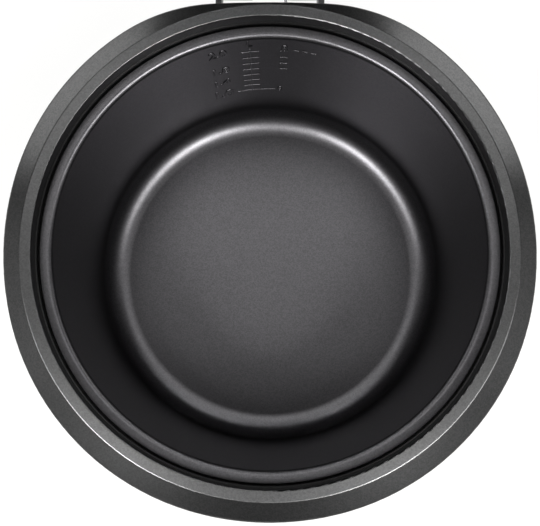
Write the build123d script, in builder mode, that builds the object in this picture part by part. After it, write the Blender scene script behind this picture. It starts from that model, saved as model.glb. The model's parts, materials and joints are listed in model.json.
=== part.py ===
"""A jar-type rice cooker: round body with a flattened back, drop-in pot and a hinged lid that stands open.

Millimetres, +Z up.  The origin is on the pot's axis in the plane that the feet stand on, the front faces -Y
and the lid hinges at the back, +Y.  Lid pieces are drawn where they lie with the lid closed, on planes that
on_lid() swings open about the hinge pin.
"""

import os
from math import asin, cos, degrees, radians, sin, sqrt, tan

from build123d import *

# ---- inner pot -----------------------------------------------------------------------------------
pot_rim_r = 105.0  # inside radius at the rim
pot_depth = 115.0
pot_wall = 2.0
pot_base = 2.5
pot_draft = 1.6  # degrees that the wall leans inwards going down
pot_corner_r = 14.7  # inside, wall to floor
flange_width = 5.9
flange_t = 2.0
flange_edge_r = 0.7
flange_r = pot_rim_r + flange_width

# ---- heights, from the table up ------------------------------------------------------------------
foot_height = 5.0
base_floor_t = 2.5
cavity_height = 25.0  # room for the electrics under the well
well_t = 1.0
plate_leg = 4.0
plate_t = 8.7
seat_gap = 0.3  # between the heating plate and the pot

base_z = foot_height
cavity_z = base_z + base_floor_t
well_z = cavity_z + cavity_height
well_floor_z = well_z + well_t
plate_z = well_floor_z + plate_leg
plate_top_z = plate_z + plate_t
pot_z = plate_top_z + seat_gap
pot_floor_z = pot_z + pot_base
flange_z = pot_floor_z + pot_depth

# ---- plan of the body: tangent arcs, rounder at the corners, and a flattened back ----------------
front_margin = 22.3  # radius of each arc beyond the pot's flange
corner_margin = 12.1
side_margin = 27.1
bow_angle = 15.0  # degrees of each front and side arc on either side of its middle
back_margin = 8.4  # flat back behind the pot's flange
back_blend_r = 79.4
front_bow = flange_r + front_margin
corner_bow = flange_r + corner_margin
side_bow = flange_r + side_margin
back_flat = flange_r + back_margin
front_reach = (
    side_bow * sin(radians(bow_angle))
    + corner_bow * (cos(radians(bow_angle)) - sin(radians(bow_angle)))
    + front_bow * (1 - cos(radians(bow_angle)))
)
# where the rear corner arc hands over to the blend, so that the blend ends on the flat back
blend_angle = degrees(
    asin(
        (back_flat - back_blend_r - (side_bow - corner_bow) * sin(radians(bow_angle)))
        / (corner_bow - back_blend_r)
    )
)

# ---- upper frame ---------------------------------------------------------------------------------
cut_margin = 1.0  # that a cut reaches past the surface it opens
ring_rise = 9.8  # ring top above the pot's flange
ring_gap = 1.1  # between the pot's flange and the inner wall
ring_width = 5.4
ring_edge_r = 0.7
crease_r = 1.4
shoulder_slope = 22.0
shoulder_edge_r = 1.6
frame_wall = 2.5
skirt_height = 17.8  # ring top down to the seam with the casing
step_drop = 7.1  # ring top down to the step in the inner wall
step_width = 0.6
ledge_t = 2.5
lip_drop = 6.0  # lip that reaches down inside the casing
lip_wall = 1.6
lip_inset = 3.1
ring_in_r = flange_r + ring_gap
ring_out_r = ring_in_r + ring_width
ring_z = flange_z + ring_rise
seam_z = ring_z - skirt_height

# ---- outer casing and base pan -------------------------------------------------------------------
casing_inset = 0.5  # in from the frame's skirt
casing_wall = 2.0
casing_draft = 3.0
seam_gap = 0.4
base_side_height = 5.0
base_lip = 6.0
casing_top_z = seam_z - seam_gap
base_side_z = base_z + base_side_height
casing_low_z = base_side_z + seam_gap

# ---- inner well, heating plate and sensor --------------------------------------------------------
well_gap = 1.6  # around the pot
well_rim_width = 2.6
well_corner_r = 12.0
well_rim_gap = 0.7  # under the pot's flange
plate_r = 80.0
plate_edge_r = 2.0
plate_leg_r = 6.0
plate_leg_ring_r = 62.0
element_r = 4.0
element_ring_r = 50.0
element_arc = 300.0
full_turn = 360.0
element_inset = 1.0
terminal_r = 2.5
sensor_hole_r = 19.5
sensor_r = 17.5
sensor_cap_t = 6.0
sensor_stem_r = 5.0
sensor_travel = 3.0
guide_wall = 2.7
running_gap = 0.3
spring_wire_r = 0.6
spring_turns = 3
side_heater_t = 1.0
side_heater_low = 60.0  # above the well's floor
side_heater_band = 40.0
fuse_r = 1.7
fuse_length = 14.0
well_in_r = pot_rim_r + pot_wall + well_gap
well_rim_r = well_in_r + well_rim_width

# ---- screws --------------------------------------------------------------------------------------
screw_r = 1.9
screw_head_r = 3.8
screw_head_t = 2.4
screw_gap = 0.15
post_r = 5.5
chassis_ring_r = 60.0

# ---- feet ----------------------------------------------------------------------------------------
foot_r = 9.0
foot_stem_r = 3.0
foot_ring_in = 5.0  # feet's circle inside the pot's rim
foot_ring_r = pot_rim_r - foot_ring_in
foot_angle = 45.0
foot_barb = 1.0
foot_barb_height = 1.5
foot_barb_taper = 30.0

# ---- power inlet in the back ---------------------------------------------------------------------
inlet_width = 28.0
inlet_height = 17.0
inlet_depth = 18.0
inlet_wall = 2.6
inlet_plate = 2.0
inlet_pin_r = 1.6
inlet_pin_span = 10.0
inlet_pin_length = 10.0
inlet_pin_tail = 5.0

# ---- boards --------------------------------------------------------------------------------------
board_t = 1.6
power_board_width = 92.0
power_board_length = 56.0
board_post_height = 4.5
board_part_height = 12.0
relay_length = 19.0
relay_width = 15.5
capacitor_r = 5.0
control_board_width = 66.0
control_board_height = 62.0
control_board_gap = 3.0  # clear of the well
switch_size = 6.0
switch_height = 2.5

# ---- control panel on the front ------------------------------------------------------------------
panel_width = 96.0
panel_height = 68.0
panel_z = 99.0  # middle of the panel
panel_corner_r = 10.0
panel_t = 1.4
panel_gap = 0.1
window_width = 50.0
window_height = 22.0
window_rise = 16.0  # window's middle above the panel's
window_corner_r = 2.0
button_gap = 0.35
button_proud = 0.8
button_travel = 1.2
button_flange = 1.0
button_flange_t = 1.2
small_button_width = 20.0
small_button_height = 8.0
small_button_span = 26.0
small_button_drop = 5.0
wide_button_width = 32.0
wide_button_height = 12.0
wide_button_span = 42.0
wide_button_drop = 21.5
lens_r = 2.0
lens_span = 72.0

# ---- hinge ---------------------------------------------------------------------------------------
open_angle = 97.0
hinge_reach = 15.7  # hinge pin behind the flat back
hinge_drop = 13.8  # hinge pin below the ring's top
hinge_pin_r = 2.5
pin_gap = 0.05
hub_r = 8.0
arm_half = 24.0
ear_gap = 0.4
ear_t = 3.0
arm_rise = 37.0  # top of the lid's arm above the hinge pin
stop_gap = 0.3
stop_bar_t = 4.0
hinge_y = back_flat + hinge_reach
hinge_z = ring_z - hinge_drop
spring_slot_half = 9.0
spring_slot_r = 13.5
hinge_coil_r = 4.2
hinge_wire_r = 0.7
hinge_coil_half = 7.0
hinge_coil_turns = 7

# ---- lid (places are those of the closed lid) ----------------------------------------------------
lid_gap = 1.2  # over the ring and the shoulder
lid_inset = 0.8
lid_wall = 2.5
lid_height = 47.0
lid_draft = 8.0
lid_crown = 5.0
crown_flat_r = 10.0  # level middle of the crown
lid_round_r = 13.0
liner_t = 2.2
liner_cup_in = 1.4  # liner's cup inside the pot's flange
liner_cup_drop = 6.0
liner_web_drop = 3.5
gasket_play = 0.8  # between the gasket and the liner's cup
gasket_lip_t = 2.3
gasket_overlap = 2.8  # gasket's web in over the pot's mouth
lid_plate_in = 3.5  # inner plate's edge inside the pot's rim
lid_plate_t = 1.0
lid_plate_rim = 3.0
grommet_r = 9.0
liner_cup_r = flange_r - liner_cup_in
gasket_r = liner_cup_r - gasket_play
gasket_lip_r = gasket_r - gasket_lip_t
gasket_in_r = pot_rim_r - gasket_overlap
lid_plate_r = pot_rim_r - lid_plate_in
lid_z = ring_z + lid_gap
lid_top_z = lid_z + lid_height

# ---- steam vent ----------------------------------------------------------------------------------
vent_y = 48.0
vent_cup_r = 22.2
vent_cup_depth = 12.0
vent_tube_r = 9.0
vent_wall = 1.6
cap_r = 19.8
cap_proud = 1.5

# ---- lid latch -----------------------------------------------------------------------------------
latch_half = 18.0
latch_gap = 0.5
latch_clear = 0.8  # arm in front of the body's skirt
latch_t = 3.2
latch_pin_r = 1.5
latch_pivot_in = 7.7  # pivot behind the front of the skirt
latch_pivot_rise = 13.0  # above the lid's underside
latch_pad_top = 25.0
latch_edge_r = 1.0
catch_half = 13.0
catch_low = 2.6  # above the seam
catch_height = 6.0
catch_corner_r = 1.0
nose_half = 12.0
nose_reach = 2.6
latch_coil_r = 2.4
latch_wire_r = 0.6
latch_coil_turns = 3

os.makedirs("parts", exist_ok=True)


# ---- shared shapes -------------------------------------------------------------------------------
lid_swing = (
    Location((0, hinge_y, hinge_z))
    * Location((0, 0, 0), (-open_angle, 0, 0))
    * Location((0, -hinge_y, -hinge_z))
)


def on_lid(plane):
    """A plane of the closed lid, swung open with the lid."""
    return Plane(lid_swing * plane.location)


def swung(y, z):
    """Where a point of the closed lid, on the middle plane, lies with the lid open."""
    angle = radians(open_angle)
    dy, dz = y - hinge_y, z - hinge_z
    return (
        hinge_y + dy * cos(angle) + dz * sin(angle),
        hinge_z - dy * sin(angle) + dz * cos(angle),
    )


lid_up = on_lid(Plane.XY)
lid_axis = Axis(lid_up.origin, lid_up.z_dir)


def outline(plane, inset):
    """The body's plan, as a face set in from the widest outline."""
    with BuildSketch(plane) as plan:
        with BuildLine():
            front = JernArc((0, -front_reach), (1, 0), front_bow, bow_angle)
            corner = JernArc(front @ 1, front % 1, corner_bow, 90 - 2 * bow_angle)
            side = JernArc(corner @ 1, corner % 1, side_bow, 2 * bow_angle)
            rear_corner = JernArc(side @ 1, side % 1, corner_bow, blend_angle - bow_angle)
            blend = JernArc(rear_corner @ 1, rear_corner % 1, back_blend_r, 90 - blend_angle)
            Line(blend @ 1, (0, (blend @ 1).Y))
            mirror(about=Plane.YZ)
        make_face()
        if inset:
            offset(amount=-inset)
    return plan.sketch


def casing_inset_at(z, depth):
    """How far the drafted casing's surface, taken depth under its skin, is set in at a height."""
    return casing_inset + depth + (casing_top_z - z) * tan(radians(casing_draft))


def drafted(low_z, high_z, depth):
    """The solid inside the casing's drafted surface, taken depth under its skin."""
    with BuildPart() as body:
        extrude(
            outline(Plane.XY.offset(high_z), casing_inset_at(high_z, depth)),
            amount=high_z - low_z,
            dir=(0, 0, -1),
            taper=casing_draft,
        )
    return body.part


def front_y(x, z):
    """The casing's front surface."""
    reach = front_reach - casing_inset_at(z, 0)
    return -(reach - front_bow + sqrt(front_bow**2 - x**2))


def front_skin(face, out_depth, in_depth):
    """A piece of the casing's front between two depths under its skin, cut to a shape."""
    low_z = panel_z - panel_height
    high_z = panel_z + panel_height / 2 + frame_wall
    with BuildPart() as skin:
        add(drafted(low_z, high_z, out_depth))
        add(drafted(low_z, high_z, in_depth), mode=Mode.SUBTRACT)
        extrude(face, amount=2 * front_reach, mode=Mode.INTERSECT)
    return skin.part


def pill(x, z, width, height, grow=0.0):
    """A rounded shape on the panel, seen from the front."""
    with BuildSketch(Plane.XZ) as shape:
        with Locations((x, z)):
            SlotOverall(width + 2 * grow, height + 2 * grow)
    return shape.sketch


def ring(inner_r, outer_r, low_z, high_z):
    """A plain round band about the pot's axis."""
    with BuildPart() as band:
        with BuildSketch(Plane.XY.offset(low_z)):
            Circle(outer_r)
            Circle(inner_r, mode=Mode.SUBTRACT)
        extrude(amount=high_z - low_z)
    return band.part


def coil(plane, radius, wire_r, turns, height, legs=()):
    """A helical spring standing on a plane, with straight legs off its two ends where lengths are given."""
    with BuildPart() as spring:
        with BuildLine(plane):
            path = Helix(height / turns, height, radius, direction=plane.z_dir)
        with BuildSketch(Plane(origin=path @ 0, z_dir=path % 0)):
            Circle(wire_r)
        sweep(path=path)
        ends = (Plane(origin=path @ 0, z_dir=-(path % 0)), Plane(origin=path @ 1, z_dir=path % 1))
        for end, length in zip(ends, legs):
            with BuildSketch(end):
                Circle(wire_r)
            extrude(amount=length)
    return spring.part


def write(piece, name):
    """Label a finished piece and write its file."""
    piece.part.label = name
    export_step(piece.part, f"parts/{name}.step")


# ---- inner pot: one pressed aluminium bowl with a turned-out flange ------------------------------
def pot_profile():
    """Half section of the pot, wall leaning in by its draft."""
    lean = tan(radians(pot_draft)) * pot_depth
    with BuildSketch(Plane.XZ) as section:
        with BuildLine():
            Polyline(
                (0, pot_z),
                (pot_rim_r + pot_wall - lean, pot_z),
                (pot_rim_r + pot_wall, flange_z - flange_t),
                (flange_r, flange_z - flange_t),
                (flange_r, flange_z),
                (pot_rim_r, flange_z),
                (pot_rim_r - lean, pot_floor_z),
                (0, pot_floor_z),
                (0, pot_z),
            )
        make_face()
        inner_corner = section.vertices().sort_by_distance((pot_rim_r - lean, pot_floor_z, 0))[0]
        fillet(inner_corner, pot_corner_r)
        outer_corner = section.vertices().sort_by_distance((pot_rim_r + pot_wall - lean, pot_z, 0))[0]
        fillet(outer_corner, pot_corner_r + pot_wall)
        fillet(section.vertices().group_by(Axis.Y)[-1], flange_edge_r)
    return section.sketch


with BuildPart() as inner_pot:
    revolve(pot_profile(), axis=Axis.Z)
write(inner_pot, "inner_pot")


# ---- upper frame: ring, shoulder, inner wall, skirt and hinge bracket in one moulding ------------
shoulder_tan = tan(radians(shoulder_slope))
outer_limit_r = side_bow + ring_width
well_rim_z = flange_z - flange_t - well_rim_gap
ledge_z = well_rim_z - well_t
stop_face = hinge_y + hub_r + stop_gap
stop_near = swung(stop_face, hinge_z)
stop_far = swung(stop_face, hinge_z + 1.5 * hub_r)
bracket_front = back_flat + seam_gap / 2
bracket_low_z = stop_far[1] - stop_bar_t

with BuildPart() as upper_frame:
    # outer form: the plan, capped by the flat ring and the sloping shoulder
    extrude(outline(Plane.XY.offset(seam_z), 0), amount=skirt_height)
    with BuildSketch(Plane.XZ):
        with BuildLine():
            Polyline(
                (0, seam_z - lip_drop),
                (0, ring_z),
                (ring_out_r, ring_z),
                (outer_limit_r, ring_z - (outer_limit_r - ring_out_r) * shoulder_tan),
                (outer_limit_r, seam_z - lip_drop),
                (0, seam_z - lip_drop),
            )
        make_face()
    revolve(axis=Axis.Z, mode=Mode.INTERSECT)
    crease = upper_frame.edges().filter_by(GeomType.CIRCLE).sort_by(Axis.Z)[-1]
    fillet(crease, crease_r)
    shoulder_edges = [
        edge
        for edge in upper_frame.edges().filter_by_position(Axis.Z, ring_z - skirt_height / 2, ring_z)
        if (edge.center().X ** 2 + edge.center().Y ** 2) > (ring_out_r + 1) ** 2
        and abs(edge.tangent_at(0.5).Z) < 0.5
    ]
    fillet(shoulder_edges, shoulder_edge_r)
    # channel between the inner wall and the skirt
    with BuildSketch(Plane.XY.offset(seam_z)) as channel:
        add(outline(Plane.XY, frame_wall))
        Circle(ring_in_r + frame_wall, mode=Mode.SUBTRACT)
    extrude(amount=skirt_height - 2 * frame_wall - shoulder_edge_r, mode=Mode.SUBTRACT)
    # opening for the pot, with a step part of the way down and a ledge for the well's rim
    with BuildSketch(Plane.XZ):
        with BuildLine():
            Polyline(
                (0, seam_z - lip_drop),
                (0, ring_z + cut_margin),
                (ring_in_r, ring_z + cut_margin),
                (ring_in_r, ring_z - step_drop),
                (ring_in_r - step_width, ring_z - step_drop),
                (ring_in_r - step_width, ledge_z),
                (well_in_r + well_t + seam_gap, ledge_z),
                (well_in_r + well_t + seam_gap, seam_z - lip_drop),
                (0, seam_z - lip_drop),
            )
        make_face()
    revolve(axis=Axis.Z, mode=Mode.SUBTRACT)
    mouth = upper_frame.edges().filter_by(GeomType.CIRCLE).filter_by_position(Axis.Z, ring_z - 0.01, ring_z)
    fillet(mouth.sort_by(SortBy.RADIUS)[0], ring_edge_r)
    add(ring(well_in_r + well_t + seam_gap, ring_in_r + frame_wall, ledge_z - ledge_t, ledge_z))
    # lip that drops inside the casing
    with BuildSketch(Plane.XY.offset(seam_z - lip_drop)):
        add(outline(Plane.XY, lip_inset))
        add(outline(Plane.XY, lip_inset + lip_wall), mode=Mode.SUBTRACT)
    extrude(amount=lip_drop)
    with BuildSketch(Plane.XY.offset(seam_z)):
        add(outline(Plane.XY, frame_wall - seam_gap))
        add(outline(Plane.XY, lip_inset + lip_wall), mode=Mode.SUBTRACT)
    extrude(amount=frame_wall)
    # bar across the ears that the open lid's arm leans on
    with BuildSketch(Plane.YZ):
        with BuildLine():
            Polyline(
                stop_near,
                stop_far,
                (stop_far[0], bracket_low_z),
                (stop_near[0], bracket_low_z),
                stop_near,
            )
        make_face()
    extrude(amount=arm_half + ear_gap + ear_t / 2, both=True)
    # two ears that hold the hinge pin
    for side in (-1, 1):
        with BuildSketch(Plane.YZ.offset(side * (arm_half + ear_gap + ear_t / 2))):
            with BuildLine():
                Polyline(
                    (back_flat - frame_wall / 2, seam_z + seam_gap),
                    (bracket_front, seam_z + seam_gap),
                    (bracket_front, bracket_low_z),
                    (stop_far[0], bracket_low_z),
                    stop_far,
                    (hinge_y + hub_r, hinge_z),
                    (back_flat - frame_wall / 2, hinge_z),
                    (back_flat - frame_wall / 2, seam_z + seam_gap),
                )
            make_face()
            with Locations((hinge_y, hinge_z)):
                Circle(hub_r)
                Circle(hinge_pin_r + pin_gap, mode=Mode.SUBTRACT)
        extrude(amount=ear_t / 2, both=True)
    # catch window in the front of the skirt
    with BuildSketch(Plane.XZ.offset(front_reach - 2 * frame_wall)):
        with Locations((0, seam_z + catch_low + catch_height / 2)):
            RectangleRounded(2 * catch_half, catch_height, catch_corner_r)
    extrude(amount=3 * frame_wall, mode=Mode.SUBTRACT)
write(upper_frame, "upper_frame")


# ---- outer casing: drawn shell that leans in towards the base ------------------------------------
inlet_z = base_side_z + seam_gap + inlet_wall + inlet_height / 2

with BuildPart() as outer_casing:
    add(drafted(casing_low_z, casing_top_z, 0))
    add(drafted(casing_low_z, casing_top_z, casing_wall), mode=Mode.SUBTRACT)
    # opening behind the control panel
    with BuildSketch(Plane.XZ):
        with Locations((0, panel_z)):
            RectangleRounded(
                panel_width - panel_corner_r,
                panel_height - panel_corner_r,
                panel_corner_r / 2,
            )
    extrude(amount=2 * front_reach, mode=Mode.SUBTRACT)
    # opening for the power inlet
    with BuildSketch(Plane.XZ):
        with Locations((0, inlet_z)):
            Rectangle(inlet_width + 2 * screw_gap, inlet_height + 2 * screw_gap)
    extrude(amount=-2 * back_flat, mode=Mode.SUBTRACT)
write(outer_casing, "outer_casing")


# ---- base pan: moulded floor with screw posts, board posts, foot sockets and vents ---------------
chassis_angles = (90, 210, 330)
foot_angles = {
    "foot_back_right": foot_angle,
    "foot_back_left": 180 - foot_angle,
    "foot_front_left": 180 + foot_angle,
    "foot_front_right": -foot_angle,
}
board_posts = [
    (x, y - power_board_length / 2)
    for x in (-power_board_width / 2 + post_r, power_board_width / 2 - post_r)
    for y in (-power_board_length / 2 + post_r, power_board_length / 2 - post_r)
]
lip_depth = casing_wall + seam_gap

with BuildPart() as base_pan:
    add(drafted(base_z, base_side_z, 0))
    add(drafted(cavity_z, base_side_z, base_floor_t), mode=Mode.SUBTRACT)
    # lip that the casing drops over
    add(drafted(base_z, base_side_z + base_lip, lip_depth))
    add(drafted(cavity_z, base_side_z + base_lip, lip_depth + base_floor_t), mode=Mode.SUBTRACT)
    # notch in the lip for the power inlet
    with BuildSketch(Plane.XZ):
        with Locations((0, inlet_z)):
            Rectangle(inlet_width + 2 * seam_gap, inlet_height + 2 * seam_gap)
    extrude(amount=-2 * back_flat, mode=Mode.SUBTRACT)
    # posts under the well
    with BuildSketch(Plane.XY.offset(base_z)):
        with PolarLocations(chassis_ring_r, 3, start_angle=chassis_angles[0]):
            Circle(post_r)
    extrude(amount=well_z - base_z)
    with Locations(Plane.XY.offset(base_z)):
        with PolarLocations(chassis_ring_r, 3, start_angle=chassis_angles[0]):
            with Locations(Location((0, 0, 0), (180, 0, 0))):
                CounterBoreHole(
                    screw_r + screw_gap,
                    screw_head_r + screw_gap,
                    screw_head_t + screw_gap,
                    depth=well_z - base_z,
                )
    # posts under the power board
    with BuildSketch(Plane.XY.offset(base_z)):
        with Locations(*board_posts):
            Circle(post_r / 2)
    extrude(amount=base_floor_t + board_post_height)
    # sockets for the feet
    with BuildSketch(Plane.XY.offset(base_z)):
        with PolarLocations(foot_ring_r, 4, start_angle=foot_angle):
            Circle(foot_stem_r + screw_gap)
    extrude(amount=base_floor_t, mode=Mode.SUBTRACT)
    # vent slots behind the middle
    with BuildSketch(Plane.XY.offset(base_z)):
        with Locations((0, chassis_ring_r + 4 * screw_head_r)):
            with GridLocations(2 * screw_head_r, 1, 9, 1):
                SlotOverall(4 * screw_head_r, screw_head_r, rotation=90)
    extrude(amount=base_floor_t, mode=Mode.SUBTRACT)
write(base_pan, "base_pan")


# ---- feet: moulded rubber, pushed into the base pan from below -----------------------------------
def rubber_foot(angle):
    """One foot: pad, stem through the pan's floor and a barb above it."""
    centre = (foot_ring_r * cos(radians(angle)), foot_ring_r * sin(radians(angle)))
    with BuildPart() as foot:
        with BuildSketch(Plane.XY):
            with Locations(centre):
                Circle(foot_r)
        extrude(amount=foot_height)
        fillet(foot.faces().sort_by(Axis.Z)[0].edges(), foot_height / 4)
        with BuildSketch(Plane.XY.offset(foot_height)):
            with Locations(centre):
                Circle(foot_stem_r)
        extrude(amount=base_floor_t)
        with BuildSketch(Plane.XY.offset(cavity_z)):
            with Locations(centre):
                Circle(foot_stem_r + foot_barb)
        extrude(amount=foot_barb_height, taper=foot_barb_taper)
    return foot


for foot_name, foot_place in foot_angles.items():
    write(rubber_foot(foot_place), foot_name)


# ---- inner well: drawn steel can that hangs by its rim in the upper frame ------------------------
with BuildPart() as inner_well:
    with BuildSketch(Plane.XZ) as well_section:
        with BuildLine():
            Polyline(
                (0, well_z),
                (well_in_r + well_t, well_z),
                (well_in_r + well_t, ledge_z),
                (well_rim_r, ledge_z),
                (well_rim_r, well_rim_z),
                (well_in_r, well_rim_z),
                (well_in_r, well_floor_z),
                (0, well_floor_z),
                (0, well_z),
            )
        make_face()
        fillet(well_section.vertices().sort_by_distance((well_in_r, well_floor_z, 0))[0], well_corner_r)
        well_foot = well_section.vertices().sort_by_distance((well_in_r + well_t, well_z, 0))[0]
        fillet(well_foot, well_corner_r + well_t)
    revolve(axis=Axis.Z)
    # openings in the floor: sensor guide, element terminals and the heating plate's screws
    with BuildSketch(Plane.XY.offset(well_z)):
        Circle(sensor_stem_r + running_gap + guide_wall + screw_gap)
        with PolarLocations(plate_leg_ring_r, 3, start_angle=30):
            Circle(screw_r + screw_gap)
        for end in (-1, 1):
            half_gap = end * (full_turn - element_arc) / 2
            with PolarLocations(element_ring_r, 1, start_angle=half_gap - 90):
                Circle(2 * terminal_r)
    extrude(amount=well_t, mode=Mode.SUBTRACT)
write(inner_well, "inner_well")


# ---- heating plate: cast aluminium on three legs, grooved underneath for the element -------------
element_z = plate_z + element_r - element_inset

with BuildPart() as heating_plate:
    with BuildSketch(Plane.XY.offset(plate_z)):
        Circle(plate_r)
        Circle(sensor_hole_r, mode=Mode.SUBTRACT)
    extrude(amount=plate_t)
    fillet(heating_plate.edges().filter_by(GeomType.CIRCLE).group_by(SortBy.RADIUS)[-1], plate_edge_r)
    with BuildSketch(Plane.XY.offset(well_floor_z)):
        with PolarLocations(plate_leg_ring_r, 3, start_angle=30):
            Circle(plate_leg_r)
    extrude(amount=plate_leg)
    with BuildSketch(Plane.XZ):
        with Locations((element_ring_r, element_z)):
            Circle(element_r + pin_gap)
        with Locations((element_ring_r, element_z - element_r)):
            Rectangle(2 * element_r, 2 * element_r)
    revolve(axis=Axis.Z, mode=Mode.SUBTRACT)
    with BuildSketch(Plane.XY.offset(well_floor_z)):
        with PolarLocations(plate_leg_ring_r, 3, start_angle=30):
            Circle(screw_r + screw_gap)
    extrude(amount=plate_leg + plate_t / 2, mode=Mode.SUBTRACT)
write(heating_plate, "heating_plate")

with BuildPart() as heater_element:
    with BuildLine():
        element_path = CenterArc(
            (0, 0, element_z), element_ring_r, -90 + (full_turn - element_arc) / 2, element_arc
        )
    with BuildSketch(Plane(origin=element_path @ 0, z_dir=element_path % 0)):
        Circle(element_r)
    sweep(path=element_path)
    for tip in (element_path @ 0, element_path @ 1):
        with BuildSketch(Plane.XY.offset(element_z)):
            with Locations((tip.X, tip.Y)):
                Circle(terminal_r)
        extrude(amount=-(element_z - well_z + 2 * terminal_r))
write(heater_element, "heater_element")

with BuildPart() as plate_screws:
    with BuildSketch(Plane.XY.offset(well_z)):
        with PolarLocations(plate_leg_ring_r, 3, start_angle=30):
            Circle(screw_r)
    extrude(amount=well_t + plate_leg + plate_t / 3)
    with BuildSketch(Plane.XY.offset(well_z)):
        with PolarLocations(plate_leg_ring_r, 3, start_angle=30):
            Circle(screw_head_r)
    extrude(amount=-screw_head_t)
write(plate_screws, "plate_screws")

with BuildPart() as chassis_screws:
    head_z = base_z + screw_gap
    with BuildSketch(Plane.XY.offset(head_z)):
        with PolarLocations(chassis_ring_r, 3, start_angle=chassis_angles[0]):
            Circle(screw_head_r)
    extrude(amount=screw_head_t)
    with BuildSketch(Plane.XY.offset(head_z + screw_head_t)):
        with PolarLocations(chassis_ring_r, 3, start_angle=chassis_angles[0]):
            Circle(screw_r)
    extrude(amount=well_z - head_z - 2 * screw_head_t)
write(chassis_screws, "chassis_screws")


# ---- sensor: sprung aluminium cap that the pot presses on, sliding in a guide on the well's floor ----
guide_low_z = cavity_z + cavity_height / 2
cap_under_z = plate_top_z - sensor_cap_t

with BuildPart() as sensor_guide:
    with BuildSketch(Plane.XY.offset(guide_low_z)):
        Circle(sensor_stem_r + running_gap + guide_wall)
        Circle(sensor_stem_r + running_gap, mode=Mode.SUBTRACT)
    extrude(amount=well_floor_z - guide_low_z)
    with BuildSketch(Plane.XY.offset(well_floor_z)):
        Circle(sensor_r - guide_wall)
        Circle(sensor_stem_r + running_gap, mode=Mode.SUBTRACT)
    extrude(amount=well_t)
write(sensor_guide, "sensor_guide")

with BuildPart() as sensor_cap:
    with BuildSketch(Plane.XY.offset(cap_under_z)):
        Circle(sensor_r)
    extrude(amount=sensor_cap_t)
    fillet(sensor_cap.faces().sort_by(Axis.Z)[-1].edges(), sensor_cap_t / 4)
    stem_low_z = guide_low_z + sensor_travel
    with BuildSketch(Plane.XY.offset(stem_low_z)):
        Circle(sensor_stem_r)
    extrude(amount=cap_under_z - stem_low_z)
write(sensor_cap, "sensor_cap")

with BuildPart() as sensor_spring:
    seat_z = well_floor_z + well_t + spring_wire_r + running_gap / 3
    add(
        coil(
            Plane.XY.offset(seat_z),
            sensor_stem_r + guide_wall + spring_wire_r,
            spring_wire_r,
            spring_turns,
            cap_under_z - seat_z - spring_wire_r - running_gap / 3,
        )
    )
write(sensor_spring, "sensor_spring")


# ---- thermal fuse in its clip under the plate, and the keep-warm heater around the well ----------
fuse_y = (sensor_hole_r + element_ring_r - element_r) / 2
fuse_z = plate_z - plate_leg / 2

with BuildPart() as thermal_fuse:
    with BuildSketch(Plane.YZ):
        with Locations((fuse_y, fuse_z)):
            Circle(fuse_r)
    extrude(amount=fuse_length / 2, both=True)
write(thermal_fuse, "thermal_fuse")

with BuildPart() as fuse_clip:
    with BuildSketch(Plane.YZ):
        with Locations((fuse_y, fuse_z)):
            Rectangle(4 * fuse_r, plate_leg)
            Circle(fuse_r + pin_gap, mode=Mode.SUBTRACT)
    extrude(amount=fuse_length / 5, both=True)
write(fuse_clip, "fuse_clip")

with BuildPart() as side_heater:
    heater_in_r = well_in_r + well_t + pin_gap
    heater_low_z = well_floor_z + side_heater_low
    add(ring(heater_in_r, heater_in_r + side_heater_t, heater_low_z, heater_low_z + side_heater_band))
write(side_heater, "side_heater")


# ---- power inlet: moulded socket in the back with two round pins ---------------------------------
inlet_face_y = back_flat - casing_inset_at(inlet_z - inlet_height / 2, 0)
inlet_back_y = inlet_face_y - inlet_depth
inlet_plate_y = back_flat - casing_inset_at(inlet_z + inlet_height / 2 + inlet_wall, -panel_gap)
socket_floor_y = inlet_back_y + inlet_wall

with BuildPart() as inlet_socket:
    with BuildSketch(Plane.XZ.offset(-inlet_back_y)):
        with Locations((0, inlet_z)):
            Rectangle(inlet_width, inlet_height)
    extrude(amount=-(inlet_plate_y + inlet_plate - inlet_back_y))
    with BuildSketch(Plane.XZ.offset(-inlet_plate_y)):
        with Locations((0, inlet_z)):
            RectangleRounded(inlet_width + 2 * inlet_wall, inlet_height + 2 * inlet_wall, inlet_wall)
    extrude(amount=-inlet_plate)
    with BuildSketch(Plane.XZ.offset(-socket_floor_y)):
        with Locations((0, inlet_z)):
            RectangleRounded(inlet_width - 2 * inlet_wall, inlet_height - 2 * inlet_wall, inlet_wall)
    extrude(amount=-2 * inlet_depth, mode=Mode.SUBTRACT)
    with BuildSketch(Plane.XZ.offset(-inlet_back_y)):
        with Locations((-inlet_pin_span / 2, inlet_z), (inlet_pin_span / 2, inlet_z)):
            Circle(inlet_pin_r + pin_gap)
    extrude(amount=-inlet_wall, mode=Mode.SUBTRACT)
write(inlet_socket, "inlet_socket")

with BuildPart() as inlet_pins:
    with BuildSketch(Plane.XZ.offset(-(inlet_back_y - inlet_pin_tail))):
        with Locations((-inlet_pin_span / 2, inlet_z), (inlet_pin_span / 2, inlet_z)):
            Circle(inlet_pin_r)
    extrude(amount=-(inlet_pin_tail + inlet_wall + inlet_pin_length))
    fillet(inlet_pins.faces().group_by(Axis.Y)[-1].edges(), inlet_pin_r / 2)
write(inlet_pins, "inlet_pins")


# ---- boards --------------------------------------------------------------------------------------
power_board_z = cavity_z + board_post_height

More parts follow.
